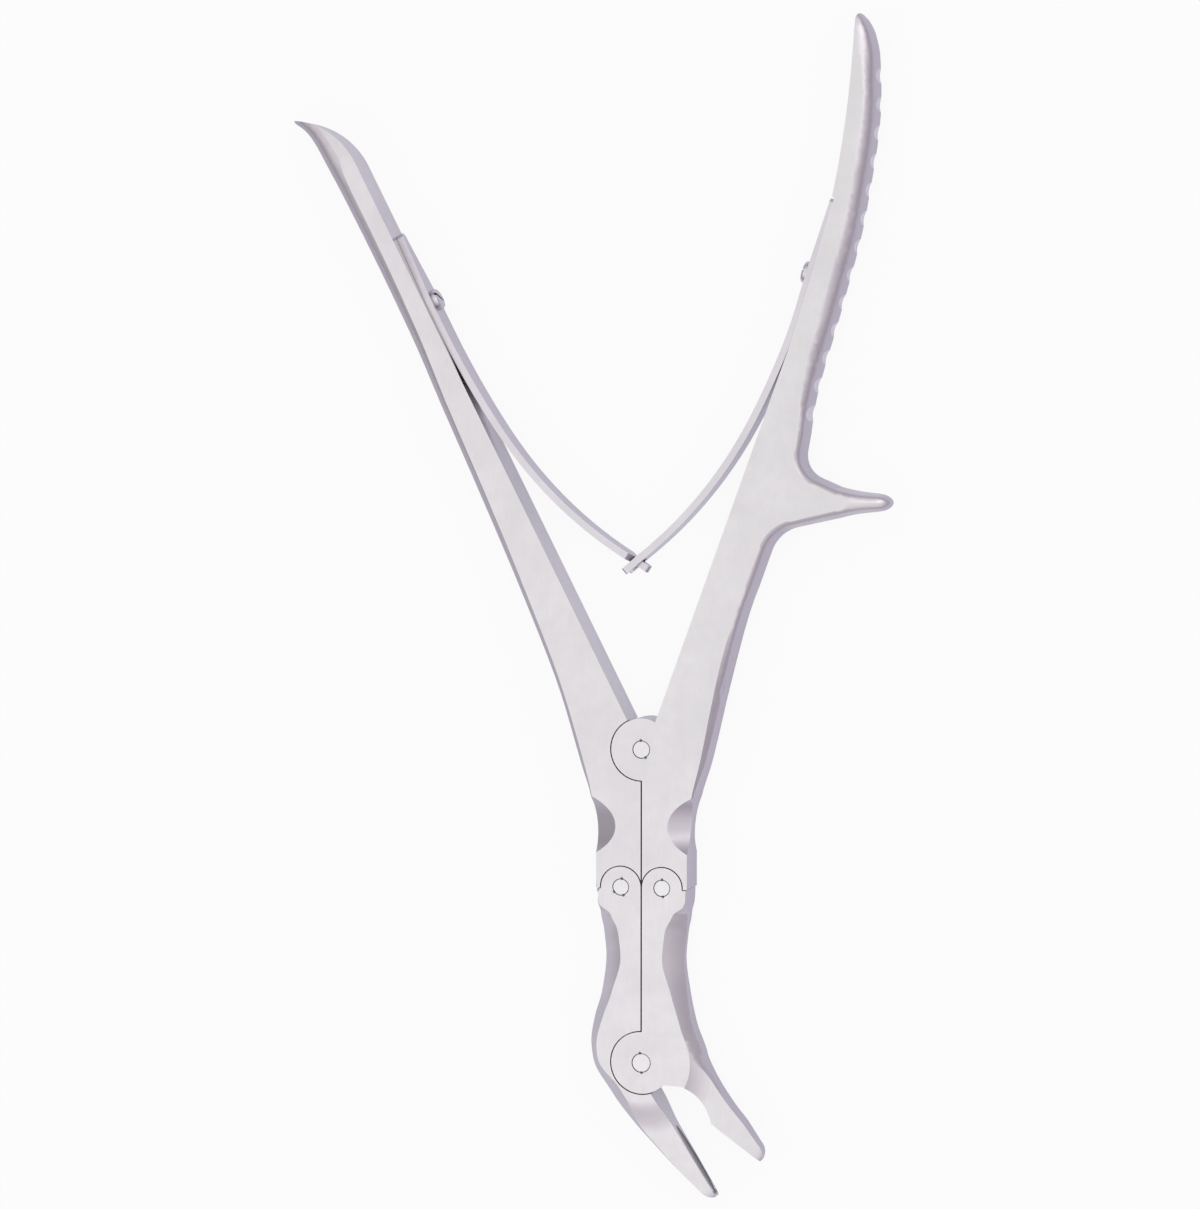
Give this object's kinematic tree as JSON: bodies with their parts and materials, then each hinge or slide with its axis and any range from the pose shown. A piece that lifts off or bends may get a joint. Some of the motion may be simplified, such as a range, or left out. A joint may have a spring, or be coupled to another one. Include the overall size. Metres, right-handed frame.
{
  "type": "bone rongeur",
  "caption": "Double-action bone rongeur in satin stainless steel: two long handles with crossing leaf springs work two angled, cupped jaws through a compound hinge.",
  "frame": {"origin": "axis of the handle pivot, on the plane that the instrument's back rests on", "axes": "+Z through the thickness towards the front, +Y from the handle pivot towards the handles, -Y towards the jaws, +X towards the handle with the finger rest"},
  "size_m": [0.1252, 0.2401, 0.0085],
  "materials": {
    "satin_steel": "satin, fine ground flats and bevels",
    "pin_steel": "ground flush with the joint faces",
    "spring_steel": "polished leaf",
    "screw_steel": "polished slotted head"
  },
  "bodies": {
    "left_handle": {"left_handle": "satin_steel", "left_spring": "spring_steel", "left_spring_screw": "screw_steel"},
    "right_handle": {"right_handle": "satin_steel", "right_spring": "spring_steel", "right_spring_screw": "screw_steel", "handle_pivot_pin": "pin_steel"},
    "left_jaw": {"left_jaw": "satin_steel", "left_link_pin": "pin_steel"},
    "right_jaw": {"right_jaw": "satin_steel", "right_link_pin": "pin_steel", "jaw_pivot_pin": "pin_steel"}
  },
  "joints": [
    {"name": "handle_hinge", "type": "hinge", "parent": "left_handle", "child": "right_handle", "pos_m": [0, 0, 0.00425], "axis": [0, 0, 1], "range_deg": [0, 28], "stiffness_Nm_per_rad": 0.5, "springref_deg": -2.86, "deforming": ["left_spring", "right_spring"]},
    {"name": "left_jaw_hinge", "type": "hinge", "parent": "left_handle", "child": "left_jaw", "pos_m": [-0.0043, -0.0281, 0.00425], "axis": [0, 0, 1], "range_deg": [0, 25]},
    {"name": "right_jaw_hinge", "type": "hinge", "parent": "right_handle", "child": "right_jaw", "pos_m": [0.0043, -0.0281, 0.00425], "axis": [0, 0, 1], "range_deg": [-25, 0]}
  ],
  "couplings": [
    {"joint": "left_jaw_hinge", "follows": "handle_hinge", "ratio": 0.8892},
    {"joint": "right_jaw_hinge", "follows": "handle_hinge", "ratio": -0.8892}
  ]
}
